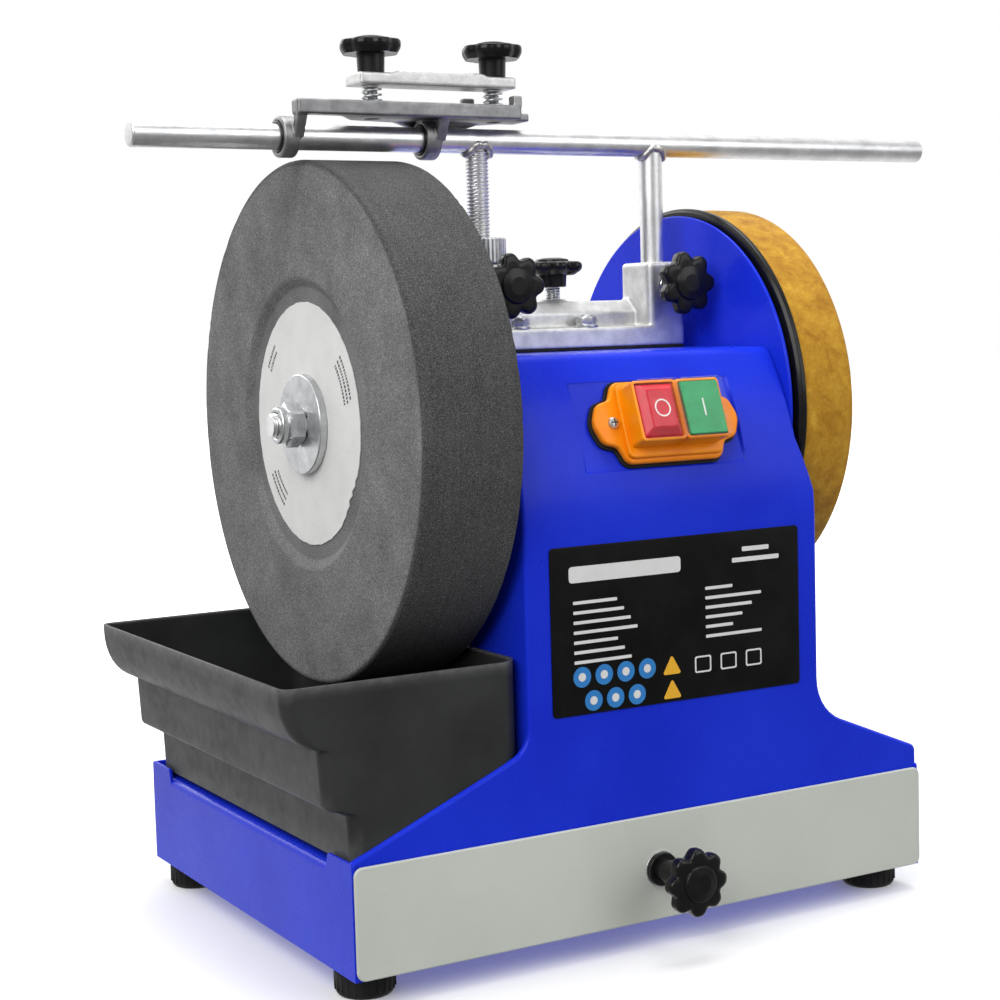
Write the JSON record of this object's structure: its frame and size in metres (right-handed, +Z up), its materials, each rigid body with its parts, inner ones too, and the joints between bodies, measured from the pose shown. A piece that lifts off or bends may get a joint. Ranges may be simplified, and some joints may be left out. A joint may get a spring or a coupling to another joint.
{
  "type": "wet grinding sharpener",
  "caption": "Bench wet grinding sharpener with a water-cooled stone over a trough, a leather strop wheel, a tool support bar with a blade jig and an accessory drawer.",
  "frame": {"origin": "on the floor, under the middle of the machine's bounding box; the wheel shaft's axis is straight above the X axis", "axes": "+X along the wheel shaft from the stone to the strop wheel, +Y towards the back, +Z up"},
  "size_m": [0.462, 0.292, 0.4329],
  "materials": {
    "blue_paint": "satin powder coat",
    "panel_paint": "satin powder coat",
    "zinc": "zinc plated",
    "rubber": "matt",
    "bronze": "sintered bronze",
    "cast_aluminium": "cast and tumbled",
    "cast_grey": "die cast, grey",
    "label_black": "satin film",
    "switch_orange": "satin",
    "clear_cover": "clear, flexible",
    "black_plastic": "moulded, satin",
    "trough_plastic": "moulded, fine grained",
    "stop_red": "glossy",
    "start_green": "satin",
    "bar_steel": "zinc plated, lightly scuffed",
    "motor_steel": "bare and painted steel",
    "grindstone": "bonded abrasive",
    "paper": "matt",
    "leather": "honing leather"
  },
  "bodies": {
    "base": {"base_frame": "blue_paint", "base_floor": "blue_paint", "housing_shell": "blue_paint", "left_side_plate": "blue_paint", "drive_guard": "blue_paint", "rear_cover": "blue_paint", "cover_screws": "zinc", "rubber_feet": "rubber", "foot_screws": "zinc", "shaft_bushes": "bronze", "bracket_gasket": "rubber", "support_bracket": "cast_aluminium", "bracket_bolts": "zinc", "label_plate": "label_black", "switch_gasket": "rubber", "switch_plate": "switch_orange", "switch_covers": "clear_cover", "switch_screws": "zinc", "switch_block": "black_plastic", "drawer_runners": "zinc", "cable_gland": "black_plastic", "motor_pivot_pin": "zinc", "run_capacitor": "zinc"},
    "wheels": {"main_shaft": "bar_steel", "grinding_stone": "grindstone", "paper_blotters": "paper", "clamp_washers": "zinc", "lock_nuts": "zinc", "strop_drum": "black_plastic", "drum_liner": "rubber", "leather_band": "leather"},
    "motor": {"motor_case": "motor_steel", "motor_end_caps": "cast_aluminium", "motor_stator": "motor_steel", "motor_cradle": "motor_steel"},
    "rotor": {"motor_spindle": "bar_steel", "rotor_core": "motor_steel", "motor_fan": "black_plastic"},
    "support": {"support_bar": "bar_steel", "threaded_leg": "bar_steel", "smooth_leg": "bar_steel"},
    "height_nut": {"adjust_nut": "zinc"},
    "left_clamp": {"left_pad": "bronze"},
    "left_knob": {"left_lock_knob": "black_plastic"},
    "right_clamp": {"right_pad": "bronze"},
    "right_knob": {"right_lock_knob": "black_plastic"},
    "rear_clamp": {"rear_pad": "bronze"},
    "rear_knob": {"rear_lock_knob": "black_plastic"},
    "drawer": {"drawer_box": "zinc", "drawer_front": "panel_paint", "drawer_knob": "black_plastic"},
    "trough": {"water_trough": "trough_plastic"},
    "stop": {"stop_button": "stop_red"},
    "start": {"start_button": "start_green"},
    "jig_carrier": {"jig_bushes": "black_plastic"},
    "jig": {"jig_base": "cast_grey", "clamp_springs": "zinc"},
    "jig_clamp": {"clamp_bar": "cast_aluminium"},
    "jig_left_knob": {"left_clamp_knob": "black_plastic"},
    "jig_right_knob": {"right_clamp_knob": "black_plastic"}
  },
  "joints": [
    {"name": "wheel_spin", "type": "hinge", "parent": "base", "child": "wheels", "pos_m": [-0.046, 0, 0.25], "axis": [1, 0, 0], "continuous": true},
    {"name": "motor_swing", "type": "hinge", "parent": "base", "child": "motor", "pos_m": [-0.008, -0.05, 0.15], "axis": [1, 0, 0], "range_deg": [0, 4]},
    {"name": "rotor_spin", "type": "hinge", "parent": "motor", "child": "rotor", "pos_m": [-0.008, 0.022, 0.1707], "axis": [1, 0, 0], "continuous": true},
    {"name": "support_height", "type": "slide", "parent": "base", "child": "support", "axis": [0, 0, 1], "range_m": [0, 0.045]},
    {"name": "height_nut_turn", "type": "hinge", "parent": "base", "child": "height_nut", "pos_m": [-0.053, -0.013, 0.33], "axis": [0, 0, 1], "range_deg": [-9260, 0]},
    {"name": "left_clamp_travel", "type": "slide", "parent": "base", "child": "left_clamp", "axis": [0, -1, 0], "range_m": [0, 0.003]},
    {"name": "left_knob_turn", "type": "hinge", "parent": "left_clamp", "child": "left_knob", "pos_m": [-0.053, -0.04, 0.313], "axis": [0, -1, 0], "range_deg": [0, 870]},
    {"name": "right_clamp_travel", "type": "slide", "parent": "base", "child": "right_clamp", "axis": [0, -1, 0], "range_m": [0, 0.003]},
    {"name": "right_knob_turn", "type": "hinge", "parent": "right_clamp", "child": "right_knob", "pos_m": [0.05, -0.04, 0.313], "axis": [0, -1, 0], "range_deg": [0, 870]},
    {"name": "rear_clamp_travel", "type": "slide", "parent": "base", "child": "rear_clamp", "axis": [0, 0, 1], "range_m": [-0.004, 0.003]},
    {"name": "rear_knob_turn", "type": "hinge", "parent": "rear_clamp", "child": "rear_knob", "pos_m": [-0.0015, 0.003, 0.32], "axis": [0, 0, 1], "range_deg": [-1160, 870]},
    {"name": "drawer_slide", "type": "slide", "parent": "base", "child": "drawer", "axis": [0, -1, 0], "range_m": [0, 0.19]},
    {"name": "trough_lift", "type": "slide", "parent": "base", "child": "trough", "axis": [0, 0, 1], "range_m": [0, 0.034]},
    {"name": "stop_press", "type": "slide", "parent": "base", "child": "stop", "axis": [0, 0.938, -0.3467], "range_m": [0, 0.003], "stiffness_N_per_m": 600, "springref_m": -0.003},
    {"name": "start_press", "type": "slide", "parent": "base", "child": "start", "axis": [0, 0.938, -0.3467], "range_m": [0, 0.003], "stiffness_N_per_m": 600, "springref_m": -0.003},
    {"name": "jig_travel", "type": "slide", "parent": "support", "child": "jig_carrier", "axis": [1, 0, 0], "range_m": [-0.065, 0.005]},
    {"name": "jig_pivot", "type": "hinge", "parent": "jig_carrier", "child": "jig", "pos_m": [-0.088, -0.013, 0.3846], "axis": [1, 0, 0], "range_deg": [-45, 60]},
    {"name": "jig_clamp_travel", "type": "slide", "parent": "jig", "child": "jig_clamp", "axis": [0, 0, 1], "range_m": [-0.0045, 0], "stiffness_N_per_m": 400, "springref_m": 0.004, "deforming": ["clamp_springs"]},
    {"name": "jig_left_knob_turn", "type": "hinge", "parent": "jig_clamp", "child": "jig_left_knob", "pos_m": [-0.1095, -0.013, 0.42], "axis": [0, 0, 1], "range_deg": [-1622, 0]},
    {"name": "jig_right_knob_turn", "type": "hinge", "parent": "jig_clamp", "child": "jig_right_knob", "pos_m": [-0.043, -0.013, 0.42], "axis": [0, 0, 1], "range_deg": [-1622, 0]}
  ],
  "couplings": [
    {"joint": "rotor_spin", "follows": "wheel_spin", "ratio": 16},
    {"joint": "height_nut_turn", "follows": "support_height", "rad_per_m": -3590.4},
    {"joint": "left_knob_turn", "follows": "left_clamp_travel", "rad_per_m": 5026.5},
    {"joint": "right_knob_turn", "follows": "right_clamp_travel", "rad_per_m": 5026.5},
    {"joint": "rear_knob_turn", "follows": "rear_clamp_travel", "rad_per_m": 5026.5},
    {"joint": "jig_left_knob_turn", "follows": "jig_clamp_travel", "rad_per_m": 6283.2},
    {"joint": "jig_right_knob_turn", "follows": "jig_clamp_travel", "rad_per_m": 6283.2}
  ]
}
